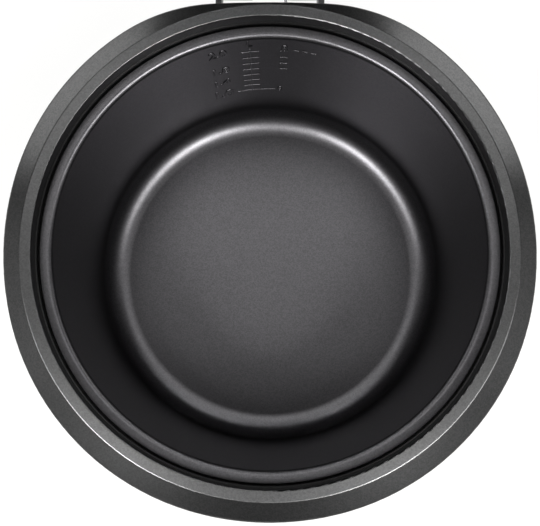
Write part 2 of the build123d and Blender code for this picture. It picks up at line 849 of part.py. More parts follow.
with BuildPart() as power_board:
    with BuildSketch(Plane.XY.offset(power_board_z)):
        with Locations((0, -power_board_length / 2)):
            Rectangle(power_board_width, power_board_length)
    extrude(amount=board_t)
    # relay, transformer block and capacitor
    with BuildSketch(Plane.XY.offset(power_board_z + board_t)):
        with Locations((-power_board_width / 4, -power_board_length / 2)):
            Rectangle(relay_length, relay_width)
        with Locations((power_board_width / 4, -power_board_length / 2 - capacitor_r)):
            Rectangle(relay_length, relay_length)
        with Locations((0, -power_board_length + board_part_height)):
            Circle(capacitor_r)
    extrude(amount=board_part_height)
write(power_board, "power_board")

board_back_y = -(well_in_r + well_t + control_board_gap)
board_front_y = board_back_y - board_t
window_z = panel_z + window_rise
small_row_z = panel_z - small_button_drop
wide_row_z = panel_z - wide_button_drop
button_places = {
    "menu_button": (-small_button_span, small_row_z, small_button_width, small_button_height),
    "hour_button": (0, small_row_z, small_button_width, small_button_height),
    "minute_button": (small_button_span, small_row_z, small_button_width, small_button_height),
    "cancel_button": (-wide_button_span / 2, wide_row_z, wide_button_width, wide_button_height),
    "start_button": (wide_button_span / 2, wide_row_z, wide_button_width, wide_button_height),
}

with BuildPart() as control_board:
    with BuildSketch(Plane.XZ.offset(-board_back_y)):
        with Locations((0, panel_z)):
            Rectangle(control_board_width, control_board_height)
    extrude(amount=board_t)
write(control_board, "control_board")

with BuildPart() as tact_switches:
    with BuildSketch(Plane.XZ.offset(-board_front_y)):
        with Locations(*[(place[0], place[1]) for place in button_places.values()]):
            Rectangle(switch_size, switch_size)
    extrude(amount=switch_height)
write(tact_switches, "tact_switches")

with BuildPart() as lcd_module:
    with BuildSketch(Plane.XZ.offset(-board_front_y)):
        with Locations((0, window_z)):
            Rectangle(window_width - 2 * window_height / 10, window_height - window_height / 10)
    extrude(amount=2 * board_t)
write(lcd_module, "lcd_module")


# ---- control panel: moulded fascia on the casing's front, with its window, lenses and buttons ----
with BuildSketch(Plane.XZ) as panel_face:
    with Locations((0, panel_z)):
        RectangleRounded(panel_width, panel_height, panel_corner_r)
    with Locations((0, window_z)):
        RectangleRounded(
            window_width + 2 * screw_gap,
            window_height + 2 * screw_gap,
            window_corner_r,
            mode=Mode.SUBTRACT,
        )
    with Locations((-lens_span / 2, window_z), (lens_span / 2, window_z)):
        Circle(lens_r + pin_gap, mode=Mode.SUBTRACT)
    for x, z, width, height in button_places.values():
        with Locations((x, z)):
            SlotOverall(width + 2 * button_gap, height + 2 * button_gap, mode=Mode.SUBTRACT)

with BuildPart() as control_panel:
    add(front_skin(panel_face.sketch, -panel_gap - panel_t, -panel_gap))
    # posts that carry the control board
    post_x = control_board_width / 2 - post_r / 2
    post_rise = window_height / 2 - lens_r / 2
    panel_posts = [(x, window_z + z) for x in (-post_x, post_x) for z in (-post_rise, post_rise)]
    for place in [*panel_posts, (0, wide_row_z)]:
        with BuildSketch(Plane.XZ.offset(-board_front_y)):
            with Locations(place):
                Circle(post_r / 2)
        extrude(amount=board_front_y - front_y(*place) + panel_gap + panel_t / 2)
write(control_panel, "control_panel")

with BuildSketch(Plane.XZ) as window_face:
    with Locations((0, window_z)):
        RectangleRounded(window_width, window_height, window_corner_r)

with BuildPart() as display_window:
    add(front_skin(window_face.sketch, -panel_gap - panel_t, -panel_gap))
write(display_window, "display_window")

with BuildSketch(Plane.XZ) as lens_faces:
    with Locations((-lens_span / 2, window_z), (lens_span / 2, window_z)):
        Circle(lens_r)

with BuildPart() as indicator_lenses:
    add(front_skin(lens_faces.sketch, -panel_gap - 1.2 * panel_t, -panel_gap))
write(indicator_lenses, "indicator_lenses")


def push_button(x, z, width, height):
    """One button: a cap through the panel, a flange behind it and a stem over its switch."""
    cap_out = -panel_gap - panel_t - button_proud
    flange_out = panel_gap
    with BuildPart() as button:
        add(front_skin(pill(x, z, width, height), cap_out, flange_out))
        add(
            front_skin(
                pill(x, z, width, height, button_flange), flange_out, flange_out + button_flange_t
            )
        )
        stem_y = board_front_y - switch_height - button_travel - running_gap
        with BuildSketch(Plane.XZ.offset(-stem_y)):
            with Locations((x, z)):
                Circle(switch_size / 2)
        extrude(amount=stem_y - front_y(x, z))
    return button


for button_name, button_place in button_places.items():
    write(push_button(*button_place), button_name)


# ---- hinge pin and the torsion spring that swings the lid open -----------------------------------
with BuildPart() as hinge_pin:
    with BuildSketch(Plane.YZ):
        with Locations((hinge_y, hinge_z)):
            Circle(hinge_pin_r)
    extrude(amount=arm_half + ear_gap + ear_t - 1, both=True)
    chamfer(hinge_pin.edges().filter_by(GeomType.CIRCLE), hinge_pin_r / 5)
write(hinge_pin, "hinge_pin")

with BuildPart() as lid_spring:
    # one leg stands on the bar between the ears, the other bears on the lid's arm
    legs = (hinge_z - stop_near[1], hub_r + hinge_coil_r)
    coil_foot = (-hinge_coil_half, hinge_y, hinge_z)
    coil_start = Plane(origin=coil_foot, x_dir=(0, 1, 0), z_dir=(1, 0, 0))
    add(coil(coil_start, hinge_coil_r, hinge_wire_r, hinge_coil_turns, 2 * hinge_coil_half, legs))
write(lid_spring, "lid_spring")


# ---- lid shell: domed moulding with the hinge arm at the back ------------------------------------
lid_low_z = lid_z - 2 * lid_wall
lid_lean = tan(radians(lid_draft))


def dome(inset, top_z, round_r):
    """The lid's outer form, or the hollow inside it: drafted sides, a shallow crown and a round edge."""
    with BuildPart() as form:
        extrude(
            outline(on_lid(Plane.XY.offset(lid_low_z)), inset),
            amount=top_z - lid_low_z,
            taper=lid_draft,
        )
        with BuildSketch(on_lid(Plane.XZ)):
            with BuildLine():
                TangentArc(
                    (crown_flat_r, top_z), (outer_limit_r, top_z - lid_crown), tangent=(1, 0)
                )
                Polyline(
                    (outer_limit_r, top_z - lid_crown),
                    (outer_limit_r, lid_low_z),
                    (0, lid_low_z),
                    (0, top_z),
                    (crown_flat_r, top_z),
                )
            make_face()
        revolve(axis=lid_axis, mode=Mode.INTERSECT)
        crown = form.faces().sort_by(lid_axis)[-2]
        fillet(crown.outer_wire().edges(), round_r)
    return form.part


latch_y = -(front_reach - latch_pivot_in)
latch_z = lid_z + latch_pivot_rise
screw_ring_r = (liner_cup_r + front_reach - lid_inset - lid_wall) / 2 - lid_draft / 4
lid_screw_angles = (30, 150, 210, 330)
lid_screws_at = [
    (screw_ring_r * cos(radians(angle)), screw_ring_r * sin(radians(angle)))
    for angle in lid_screw_angles
]
arm_root_y = back_flat - lid_inset - lid_wall / 2
arm_low_z = lid_z + stop_gap

with BuildPart() as lid_shell:
    add(dome(lid_inset, lid_top_z, lid_round_r))
    add(dome(lid_inset + lid_wall, lid_top_z - lid_wall, lid_round_r - lid_wall), mode=Mode.SUBTRACT)
    # underside follows the ring and the shoulder
    with BuildSketch(on_lid(Plane.XZ)):
        with BuildLine():
            Polyline(
                (0, lid_low_z - lid_height),
                (0, lid_z),
                (ring_out_r, lid_z),
                (outer_limit_r, lid_z - (outer_limit_r - ring_out_r) * shoulder_tan),
                (outer_limit_r, lid_low_z - lid_height),
                (0, lid_low_z - lid_height),
            )
        make_face()
    revolve(axis=lid_axis, mode=Mode.SUBTRACT)
    # bosses for the screws that come up through the liner
    with BuildSketch(on_lid(Plane.XY.offset(lid_z + liner_t))):
        with Locations(*lid_screws_at):
            Circle(screw_r + lid_wall / 2)
    extrude(amount=lid_height - lid_round_r)
    with BuildSketch(on_lid(Plane.XY.offset(lid_z + liner_t))):
        with Locations(*lid_screws_at):
            Circle(screw_r - screw_gap)
    extrude(amount=lid_height / 2, mode=Mode.SUBTRACT)
    # arm that carries the lid on the hinge pin
    with BuildSketch(on_lid(Plane.YZ)):
        with BuildLine():
            Polyline(
                (hinge_y - hub_r, hinge_z),
                (hinge_y - hub_r, arm_low_z),
                (arm_root_y, arm_low_z),
                (arm_root_y - (hinge_z + arm_rise - arm_low_z) * lid_lean, hinge_z + arm_rise),
                (hinge_y - hub_r / 2, hinge_z + arm_rise),
                (hinge_y + hub_r, hinge_z + arm_rise - 1.6 * hub_r),
                (hinge_y + hub_r, hinge_z),
                (hinge_y - hub_r, hinge_z),
            )
        make_face()
        with Locations((hinge_y, hinge_z)):
            Circle(hub_r)
    extrude(amount=arm_half, both=True)
    with BuildSketch(on_lid(Plane.YZ)):
        with Locations((hinge_y, hinge_z)):
            Circle(hinge_pin_r + pin_gap)
    extrude(amount=2 * arm_half, both=True, mode=Mode.SUBTRACT)
    with BuildSketch(on_lid(Plane.YZ)):
        with Locations((hinge_y, hinge_z)):
            Circle(spring_slot_r)
    extrude(amount=spring_slot_half, both=True, mode=Mode.SUBTRACT)
    # opening for the steam vent
    with BuildSketch(on_lid(Plane.XY.offset(lid_top_z - vent_cup_depth))):
        with Locations((0, vent_y)):
            Circle(vent_cup_r + screw_gap)
    extrude(amount=2 * vent_cup_depth, mode=Mode.SUBTRACT)
    # notch for the latch in the front wall
    with BuildSketch(on_lid(Plane.XZ.offset(-latch_y))):
        with Locations((0, lid_low_z - cut_margin)):
            Rectangle(
                2 * (latch_half + latch_gap),
                lid_z + latch_pad_top + latch_gap - lid_low_z + cut_margin,
                align=(Align.CENTER, Align.MIN),
            )
    extrude(amount=3 * latch_pivot_in, mode=Mode.SUBTRACT)
write(lid_shell, "lid_shell")


# ---- lid liner: inner moulding that closes the lid, holds the gasket and carries the latch -------
liner_inset = lid_inset + lid_wall + (lid_z + liner_t - lid_low_z) * lid_lean + screw_gap
cup_z = lid_z - liner_cup_drop
web_z = lid_z - liner_web_drop
ear_outer = latch_half - running_gap
ear_inner = ear_outer - lid_wall
ear_front_y = -(front_reach - liner_inset - latch_gap)
ear_round_r = latch_t - latch_gap
grommet_stem_r = grommet_r / 3

with BuildPart() as lid_liner:
    with BuildSketch(on_lid(Plane.XY.offset(lid_z))):
        add(outline(Plane.XY, liner_inset))
        Circle(liner_cup_r - liner_t, mode=Mode.SUBTRACT)
    extrude(amount=liner_t)
    with BuildSketch(on_lid(Plane.XY.offset(cup_z))):
        Circle(liner_cup_r)
        Circle(liner_cup_r - liner_t, mode=Mode.SUBTRACT)
    extrude(amount=liner_cup_drop)
    with BuildSketch(on_lid(Plane.XY.offset(web_z))):
        Circle(liner_cup_r)
        Circle(grommet_stem_r + running_gap, mode=Mode.SUBTRACT)
        with Locations((0, vent_y)):
            Circle(vent_tube_r + screw_gap, mode=Mode.SUBTRACT)
    extrude(amount=liner_t)
    # screw holes, sunk from below
    with BuildSketch(on_lid(Plane.XY.offset(lid_z))):
        with Locations(*lid_screws_at):
            Circle(screw_r + screw_gap)
    extrude(amount=liner_t, mode=Mode.SUBTRACT)
    with BuildSketch(on_lid(Plane.XY.offset(lid_z))):
        with Locations(*lid_screws_at):
            Circle(screw_head_r - screw_r / 2 + screw_gap)
    extrude(amount=liner_t / 2, mode=Mode.SUBTRACT)
    # ears for the latch pin
    for side in (-1, 1):
        with BuildSketch(on_lid(Plane.YZ.offset(side * (ear_outer + ear_inner) / 2))):
            with BuildLine():
                Polyline(
                    (ear_front_y, lid_z + liner_t / 2),
                    (ear_front_y, latch_z),
                    (latch_y, latch_z + ear_round_r),
                    (latch_y + 2 * lid_wall, latch_z),
                    (latch_y + 2 * lid_wall, lid_z + liner_t / 2),
                    (ear_front_y, lid_z + liner_t / 2),
                )
            make_face()
            with Locations((latch_y, latch_z)):
                Circle(ear_round_r)
                Circle(latch_pin_r + pin_gap, mode=Mode.SUBTRACT)
        extrude(amount=lid_wall / 2, both=True)
    # post behind the latch spring
    with BuildSketch(on_lid(Plane.XY.offset(lid_z + liner_t / 2))):
        with Locations((0, latch_y + 2 * lid_wall + lid_wall / 2)):
            Rectangle(4 * lid_wall, lid_wall)
    extrude(amount=latch_pad_top - liner_t / 2)
write(lid_liner, "lid_liner")


# ---- gasket, inner plate and its grommet ---------------------------------------------------------
gasket_z = flange_z + seat_gap
plate_under_z = cup_z - lid_plate_t

with BuildPart() as lid_gasket:
    with BuildSketch(on_lid(Plane.XZ)):
        with BuildLine():
            Polyline(
                (gasket_in_r, cup_z),
                (gasket_r, cup_z),
                (gasket_r, gasket_z),
                (gasket_lip_r, gasket_z),
                (gasket_lip_r, (gasket_z + cup_z) / 2),
                (gasket_in_r, (gasket_z + cup_z) / 2),
                (gasket_in_r, cup_z),
            )
        make_face()
    revolve(axis=lid_axis)
write(lid_gasket, "lid_gasket")

with BuildPart() as lid_plate:
    with BuildSketch(on_lid(Plane.XY.offset(plate_under_z))):
        Circle(lid_plate_r)
        with Locations((0, vent_y)):
            with PolarLocations(vent_tube_r / 2, 6):
                Circle(screw_r / 2, mode=Mode.SUBTRACT)
    extrude(amount=lid_plate_t)
    with BuildSketch(on_lid(Plane.XY.offset(plate_under_z))):
        Circle(lid_plate_r)
        Circle(lid_plate_r - lid_plate_t, mode=Mode.SUBTRACT)
    extrude(amount=-lid_plate_rim)
write(lid_plate, "lid_plate")

with BuildPart() as plate_grommet:
    with BuildSketch(on_lid(Plane.XY.offset(cup_z))):
        Circle(grommet_r)
    extrude(amount=web_z - cup_z)
    with BuildSketch(on_lid(Plane.XY.offset(web_z))):
        Circle(grommet_stem_r)
    extrude(amount=2 * liner_t)
write(plate_grommet, "plate_grommet")

with BuildPart() as lid_sensor:
    with BuildSketch(on_lid(Plane.XY.offset(cup_z + screw_gap))):
        with Locations((-vent_y, 0)):
            Circle(grommet_r)
    extrude(amount=web_z - cup_z - screw_gap)
write(lid_sensor, "lid_sensor")

with BuildPart() as lid_screws:
    head_r = screw_head_r - screw_r / 2
    with BuildSketch(on_lid(Plane.XY.offset(lid_z))):
        with Locations(*lid_screws_at):
            Circle(head_r)
    extrude(amount=liner_t / 2)
    with BuildSketch(on_lid(Plane.XY.offset(lid_z + liner_t / 2))):
        with Locations(*lid_screws_at):
            Circle(screw_r - 2 * screw_gap)
    extrude(amount=lid_height / 4)
write(lid_screws, "lid_screws")


# ---- steam vent: cup and tube fixed in the lid, and a cap that pulls out -------------------------
crown_share = (vent_y + vent_cup_r - crown_flat_r) / (outer_limit_r - crown_flat_r)
vent_top_z = lid_top_z - lid_crown * crown_share**2
vent_floor_z = vent_top_z - vent_cup_depth + vent_wall
cap_low_z = vent_floor_z + running_gap
cap_wall = 2 * vent_wall
plug_r = vent_tube_r - vent_wall - running_gap

with BuildPart() as vent_tube:
    with BuildSketch(on_lid(Plane.XY.offset(web_z))):
        with Locations((0, vent_y)):
            Circle(vent_tube_r)
            Circle(vent_tube_r - vent_wall, mode=Mode.SUBTRACT)
    extrude(amount=vent_floor_z - web_z)
    with BuildSketch(on_lid(Plane.XY.offset(vent_floor_z - vent_wall))):
        with Locations((0, vent_y)):
            Circle(vent_cup_r)
            Circle(vent_tube_r - vent_wall, mode=Mode.SUBTRACT)
    extrude(amount=vent_wall)
    with BuildSketch(on_lid(Plane.XY.offset(vent_floor_z))):
        with Locations((0, vent_y)):
            Circle(vent_cup_r)
            Circle(vent_cup_r - vent_wall, mode=Mode.SUBTRACT)
    extrude(amount=vent_top_z - vent_floor_z)
write(vent_tube, "vent_tube")

with BuildPart() as steam_cap:
    with BuildSketch(on_lid(Plane.XY.offset(cap_low_z))):
        with Locations((0, vent_y)):
            Circle(cap_r)
    extrude(amount=lid_top_z + cap_proud - cap_low_z)
    fillet(steam_cap.faces().sort_by(lid_axis)[-1].edges(), cap_proud)
    with BuildSketch(on_lid(Plane.XY.offset(cap_low_z))):
        with Locations((0, vent_y)):
            Circle(cap_r - cap_wall / 2)
            Circle(plug_r, mode=Mode.SUBTRACT)
    extrude(amount=lid_top_z + cap_proud - cap_wall - cap_low_z, mode=Mode.SUBTRACT)
    with BuildSketch(on_lid(Plane.XY.offset(cap_low_z))):
        with Locations((0, vent_y)):
            Circle(plug_r)
    extrude(amount=-cap_r / 2)
    # steam slots through the top
    with BuildSketch(on_lid(Plane.XY.offset(lid_top_z))):
        with Locations((0, vent_y)):
            with PolarLocations((plug_r + cap_r) / 2, 8):
                SlotOverall(cap_r / 4, cap_r / 10)
    extrude(amount=cap_wall, both=True, mode=Mode.SUBTRACT)
write(steam_cap, "steam_cap")


# ---- latch: sprung lever in the lid's front whose nose hooks under the body's skirt --------------
arm_face_y = -(front_reach + latch_clear)
arm_front_y = arm_face_y - latch_t
nose_z = seam_z + catch_low + catch_height / 4
nose_t = catch_height / 2
pad_back_y = latch_y - latch_t
pad_top_z = lid_z + latch_pad_top

with BuildPart() as latch_lever:
    with BuildSketch(on_lid(Plane.YZ)):
        with BuildLine():
            Polyline(
                (arm_front_y, nose_z - 1),
                (arm_front_y, lid_z + liner_t),
                (pad_back_y - latch_t, pad_top_z),
                (pad_back_y, pad_top_z),
                (pad_back_y, latch_z - 2 * latch_pin_r),
                (arm_face_y, lid_z + liner_t + latch_gap),
                (arm_face_y, nose_z - 1),
                (arm_front_y, nose_z - 1),
            )
        make_face()
    extrude(amount=latch_half, both=True)
    outward = Axis(lid_up.origin, -on_lid(Plane.XZ).z_dir)
    fillet(latch_lever.edges().filter_by(Axis.X).group_by(outward)[0], latch_edge_r)
    with BuildSketch(on_lid(Plane.YZ)):
        with BuildLine():
            Polyline(
                (arm_face_y - latch_t / 2, nose_z - 1),
                (arm_face_y - latch_t / 2, nose_z + nose_t),
                (arm_face_y + nose_reach, nose_z + nose_t),
                (arm_face_y + nose_reach, nose_z + nose_t / 3),
                (arm_face_y, nose_z - 1),
                (arm_face_y - latch_t / 2, nose_z - 1),
            )
        make_face()
    extrude(amount=nose_half, both=True)
    with BuildSketch(on_lid(Plane.YZ)):
        with Locations((latch_y, latch_z)):
            Circle(latch_pin_r + lid_wall - pin_gap)
        with Locations(((latch_y + pad_back_y) / 2 - latch_t / 4, latch_z)):
            Rectangle(latch_t * 1.5, 2 * (latch_pin_r + lid_wall - pin_gap))
        with Locations((latch_y, latch_z)):
            Circle(latch_pin_r + pin_gap, mode=Mode.SUBTRACT)
    extrude(amount=ear_inner - running_gap, both=True)
write(latch_lever, "latch_lever")

with BuildPart() as latch_pin:
    with BuildSketch(on_lid(Plane.YZ)):
        with Locations((latch_y, latch_z)):
            Circle(latch_pin_r)
    extrude(amount=ear_outer, both=True)
write(latch_pin, "latch_pin")

with BuildPart() as latch_spring:
    spring_z = pad_top_z - latch_coil_r - 2 * latch_wire_r
    back_y = latch_y + 2 * lid_wall - latch_wire_r - running_gap / 3
    front_end_y = pad_back_y + latch_wire_r + running_gap / 3
    spring_plane = on_lid(Plane(origin=(0, back_y, spring_z), x_dir=(1, 0, 0), z_dir=(0, -1, 0)))
    add(coil(spring_plane, latch_coil_r, latch_wire_r, latch_coil_turns, back_y - front_end_y))
write(latch_spring, "latch_spring")
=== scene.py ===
"""A jar-type rice cooker with its lid open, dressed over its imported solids.  Metres, +Z up."""
import math

import bpy
from mathutils import Matrix, Vector
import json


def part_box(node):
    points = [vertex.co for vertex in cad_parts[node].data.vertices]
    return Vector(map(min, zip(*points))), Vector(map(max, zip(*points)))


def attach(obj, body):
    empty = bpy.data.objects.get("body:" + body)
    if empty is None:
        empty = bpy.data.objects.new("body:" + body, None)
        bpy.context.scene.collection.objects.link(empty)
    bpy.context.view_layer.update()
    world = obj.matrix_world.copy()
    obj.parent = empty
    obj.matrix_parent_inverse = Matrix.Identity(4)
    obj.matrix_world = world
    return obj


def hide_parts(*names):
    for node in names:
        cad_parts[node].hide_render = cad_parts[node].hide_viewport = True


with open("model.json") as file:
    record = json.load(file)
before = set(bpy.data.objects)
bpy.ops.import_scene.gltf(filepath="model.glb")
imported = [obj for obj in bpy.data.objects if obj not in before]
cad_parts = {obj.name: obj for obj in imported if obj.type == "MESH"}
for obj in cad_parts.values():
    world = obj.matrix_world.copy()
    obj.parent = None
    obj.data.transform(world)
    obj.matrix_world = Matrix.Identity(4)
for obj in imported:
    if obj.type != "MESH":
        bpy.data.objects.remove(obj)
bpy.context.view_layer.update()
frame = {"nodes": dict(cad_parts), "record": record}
nodes = frame["nodes"]

# ---- Studio --------------------------------------------------------------------------------------
# A pale worktop with a pale wall far round it, and a camera that looks down into the open pot
# from slightly in front. Eleven soft lamps round the pot draw the bright lines on its rims and
# floor, and leave its walls dark.


def linear(hex_colour):
    """An sRGB hex colour as the linear colour that a shader takes."""
    parts = [int(hex_colour[i : i + 2], 16) / 255 for i in (1, 3, 5)]
    return [c / 12.92 if c <= 0.04045 else ((c + 0.055) / 1.055) ** 2.4 for c in parts] + [1.0]


def add_node(material, kind, values=None, links=None, **settings):
    """One shader node, with its properties, its sockets' values and what feeds them."""
    made = material.node_tree.nodes.new(kind)
    for name, value in settings.items():
        setattr(made, name, value)
    for name, value in (values or {}).items():
        made.inputs[name].default_value = value
    for name, (source, output) in (links or {}).items():
        material.node_tree.links.new(source.outputs[output], made.inputs[name])
    return made


def new_material(name):
    """An empty node material."""
    material = bpy.data.materials.new(name)
    material.use_nodes = True
    material.node_tree.nodes.clear()
    return material


def deselect():
    """Nothing selected, and out of edit mode, before the next operator."""
    if bpy.context.object and bpy.context.object.mode != "OBJECT":
        bpy.ops.object.mode_set(mode="OBJECT")
    bpy.ops.object.select_all(action="DESELECT")


worktop_r = 20.0
backdrop_height = 4.4
glow_share = 0.72  # plain white in the paint where it is seen, straight or in a reflection

worktop_paint = new_material("worktop paint, matte")
path = add_node(worktop_paint, "ShaderNodeLightPath")
seen = add_node(
    worktop_paint,
    "ShaderNodeMath",
    links={0: (path, "Is Camera Ray"), 1: (path, "Is Glossy Ray")},
    operation="ADD",
)
seen = add_node(
    worktop_paint,
    "ShaderNodeMath",
    links={0: (seen, 0), 1: (path, "Is Transmission Ray")},
    operation="ADD",
)
share = add_node(
    worktop_paint, "ShaderNodeMath", {1: glow_share}, {0: (seen, 0)}, operation="MULTIPLY"
)
paint = add_node(worktop_paint, "ShaderNodeBsdfDiffuse", {"Color": linear("#EEEDEA")})
glow = add_node(worktop_paint, "ShaderNodeEmission", {"Color": linear("#FFFFFF"), "Strength": 1.0})
shader = add_node(
    worktop_paint, "ShaderNodeMixShader", links={0: (share, 0), 1: (paint, 0), 2: (glow, 0)}
)
add_node(worktop_paint, "ShaderNodeOutputMaterial", links={"Surface": (shader, 0)})
deselect()
bpy.ops.mesh.primitive_circle_add(vertices=96, radius=worktop_r, fill_type="NGON")
worktop = bpy.context.object
worktop.name = "worktop"
worktop.data.materials.append(worktop_paint)
deselect()
bpy.ops.mesh.primitive_cylinder_add(
    vertices=96,
    radius=worktop_r,
    depth=backdrop_height,
    end_fill_type="NOTHING",
    location=(0.0, 0.0, backdrop_height / 2),
)
backdrop = bpy.context.object
backdrop.name = "backdrop"
backdrop.data.materials.append(worktop_paint)

eye_distance = 0.3675
eye_lean = math.radians(7.71)  # of the line from the rim's middle to the eye
eye_tilt = math.radians(6.53)
rim_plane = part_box("inner_pot")[1].z
camera_data = bpy.data.cameras.new("camera")
camera_data.sensor_width = 36.0
camera_data.lens = 51.0
camera_data.clip_start = 0.01
camera = bpy.data.objects.new("camera", camera_data)
camera.location = (
    0.0,
    -eye_distance * math.sin(eye_lean),
    rim_plane + eye_distance * math.cos(eye_lean),
)
camera.rotation_euler = (eye_tilt, 0.0, 0.0)
bpy.context.scene.collection.objects.link(camera)
bpy.context.scene.camera = camera


def lamp(name, azimuth, elevation, width, height, power, distance=1.2):
    """A soft rectangular lamp that faces the pot, with its power in watts.

    The angles are in degrees, and the azimuth runs clockwise from the back.
    """
    data = bpy.data.lights.new(name, "AREA")
    data.shape = "RECTANGLE"
    data.size, data.size_y, data.energy = width, height, power
    made = bpy.data.objects.new(name, data)
    turn, rise = math.radians(azimuth), math.radians(elevation)
    away = Vector(
        (math.cos(rise) * math.sin(turn), math.cos(rise) * math.cos(turn), math.sin(rise))
    )
    made.location = away * distance + Vector((0.0, 0.0, rim_plane))
    made.rotation_euler = away.to_track_quat("Z", "Y").to_euler()
    bpy.context.scene.collection.objects.link(made)


lamp("front right lamp", 148.0, 54.0, 0.25, 0.25, 8.8)
lamp("front left lamp", -138.0, 54.0, 0.25, 0.25, 8.0)
lamp("high right lamp", 148.0, 66.0, 0.35, 0.30, 0.84)
lamp("high left lamp", -138.0, 66.0, 0.35, 0.30, 0.84)
lamp("wide right lamp", 125.0, 52.0, 0.7, 0.35, 7.7)
lamp("wide left lamp", -125.0, 52.0, 0.7, 0.35, 7.0)
lamp("back overhead lamp", 0.0, 67.0, 1.2, 0.7, 5.6, distance=1.3)
lamp("back left lamp", -45.0, 20.0, 0.8, 0.35, 2.4)
lamp("back right lamp", 45.0, 20.0, 0.8, 0.35, 2.7)
lamp("left lamp", -95.0, 26.0, 0.8, 0.4, 0.63)
lamp("right lamp", 95.0, 26.0, 0.8, 0.4, 0.63)
room_light = 0.03
world = bpy.data.worlds.new("room")
world.use_nodes = True
world.node_tree.nodes["Background"].inputs["Color"].default_value = linear("#FFFFFF")
world.node_tree.nodes["Background"].inputs["Strength"].default_value = room_light
bpy.context.scene.world = world
bpy.context.scene.view_settings.view_transform = "Standard"


# ---- Inner pot -----------------------------------------------------------------------------------
# Pressed aluminium bowl with a turned-out flange, sprayed inside and out with a dark non-stick
# coating whose fine bright flecks show as a sparkle. The rounding between the flange and the wall
# draws a bright line all round.
arc_step = 0.0008  # longest straight step in a rounded corner
smooth_angle = math.radians(35)


def rounded(section):
    """The points of a section of (across, along, corner radius), its rounded corners made arcs."""
    points = []
    for i, (x, z, radius) in enumerate(section):
        at = Vector((x, 0.0, z))
        if not radius:
            points.append(at)
            continue
        before = (Vector((section[i - 1][0], 0.0, section[i - 1][1])) - at).normalized()
        after = (Vector((section[i + 1][0], 0.0, section[i + 1][1])) - at).normalized()
        half = before.angle(after) / 2
        middle = at + (before + after).normalized() * (radius / math.sin(half))
        start = at + before * (radius / math.tan(half)) - middle
        end = at + after * (radius / math.tan(half)) - middle
        turns = max(4, round(start.angle(end) * radius / arc_step))
        way = [start.normalized().slerp(end.normalized(), k / turns) for k in range(turns + 1)]
        points += [middle + step * radius for step in way]
    return points


def spun(name, section, steps=240, centre=(0.0, 0.0, 0.0), axis=(0.0, 0.0, 1.0)):
    """A turned piece: its section, drawn from one point in the XZ plane, is spun round the axis."""
    deselect()
    bpy.ops.mesh.primitive_plane_add(size=0.001)
    made = bpy.context.object
    made.name = name
    bpy.ops.object.mode_set(mode="EDIT")
    bpy.ops.mesh.merge(type="CENTER")
    places = rounded(section)
    bpy.ops.transform.translate(value=places[0])
    for here, there in zip(places, places[1:]):
        bpy.ops.mesh.extrude_vertices_move(TRANSFORM_OT_translate={"value": there - here})
    bpy.ops.mesh.select_all(action="SELECT")
    bpy.ops.mesh.spin(steps=steps, angle=2 * math.pi, center=centre, axis=axis)
    bpy.ops.mesh.select_all(action="SELECT")
    bpy.ops.mesh.remove_doubles(threshold=1e-6)
    bpy.ops.mesh.normals_make_consistent(inside=False)
    bpy.ops.object.mode_set(mode="OBJECT")
    bpy.ops.object.shade_smooth_by_angle(angle=smooth_angle)
    even = made.modifiers.new("even shading", "WEIGHTED_NORMAL")
    even.keep_sharp = True
    bpy.ops.object.modifier_apply(modifier=even.name)
    return made


pot_low, pot_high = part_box("inner_pot")
rim_r = 0.105  # inside, at the rim
pot_wall = 0.002
flange_t = 0.002
pot_bottom = 0.0025
floor_round = 0.0147
rim_round = 0.0027
flange_edge = 0.0005
wall_lean = math.radians(1.6)
floor_z = pot_low.z + pot_bottom
lean = math.tan(wall_lean) * (pot_high.z - floor_z)
pot = spun(
    "pot",
    [
        (0.0, pot_low.z, 0.0),
        (rim_r + pot_wall - lean, pot_low.z, floor_round + pot_wall),
        (rim_r + pot_wall, pot_high.z - flange_t, 0.0),
        (pot_high.x, pot_high.z - flange_t, 0.0),
        (pot_high.x, pot_high.z, flange_edge),
        (rim_r, pot_high.z, rim_round),
        (rim_r - lean, floor_z, floor_round),
        (0.0, floor_z, 0.0),
    ],
)
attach(pot, "pot")
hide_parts("inner_pot")


def flecked(name, base, spread, fleck_size, roughness, edge_shine):
    """A dark finish with metal flakes: small cells that differ a little, and a faint grain.

    Edge shine is how bright the finish gets where it is seen at a flat angle, from 0 to 1.
    """
    material = new_material(name)
    place = add_node(material, "ShaderNodeTexCoord")
    cells = add_node(
        material,
        "ShaderNodeTexVoronoi",
        {"Scale": 1.0 / fleck_size},
        {"Vector": (place, "Object")},
        feature="F1",
    )
    pick = add_node(material, "ShaderNodeSeparateColor", links={"Color": (cells, "Color")})
    dark = [c * (1.0 - spread) for c in linear(base)[:3]] + [1.0]
    light = [c * (1.0 + spread) for c in linear(base)[:3]] + [1.0]
    colour = add_node(
        material, "ShaderNodeMix", {6: dark, 7: light}, {0: (pick, "Red")}, data_type="RGBA"
    )
    grain = add_node(
        material,
        "ShaderNodeTexNoise",
        {"Scale": 0.8 / fleck_size, "Detail": 1.0},
        {"Vector": (place, "Object")},
    )
    bump = add_node(
        material,
        "ShaderNodeBump",
        {"Strength": 0.05, "Distance": 0.0001},
        {"Height": (grain, "Fac")},
    )
    shader = add_node(
        material,
        "ShaderNodeBsdfPrincipled",
        {
            "Roughness": roughness,
            "Metallic": 1.0,
            "Specular Tint": (edge_shine, edge_shine, edge_shine, 1.0),
        },
        {"Base Color": (colour, 2), "Normal": (bump, "Normal")},
    )
    add_node(material, "ShaderNodeOutputMaterial", links={"Surface": (shader, "BSDF")})
    return material


pot_coating = flecked(
    "non-stick coating with mica",
    "#555456",
    spread=0.16,
    fleck_size=0.0006,
    roughness=0.34,
    edge_shine=0.68,
)
pot.data.materials.append(pot_coating)


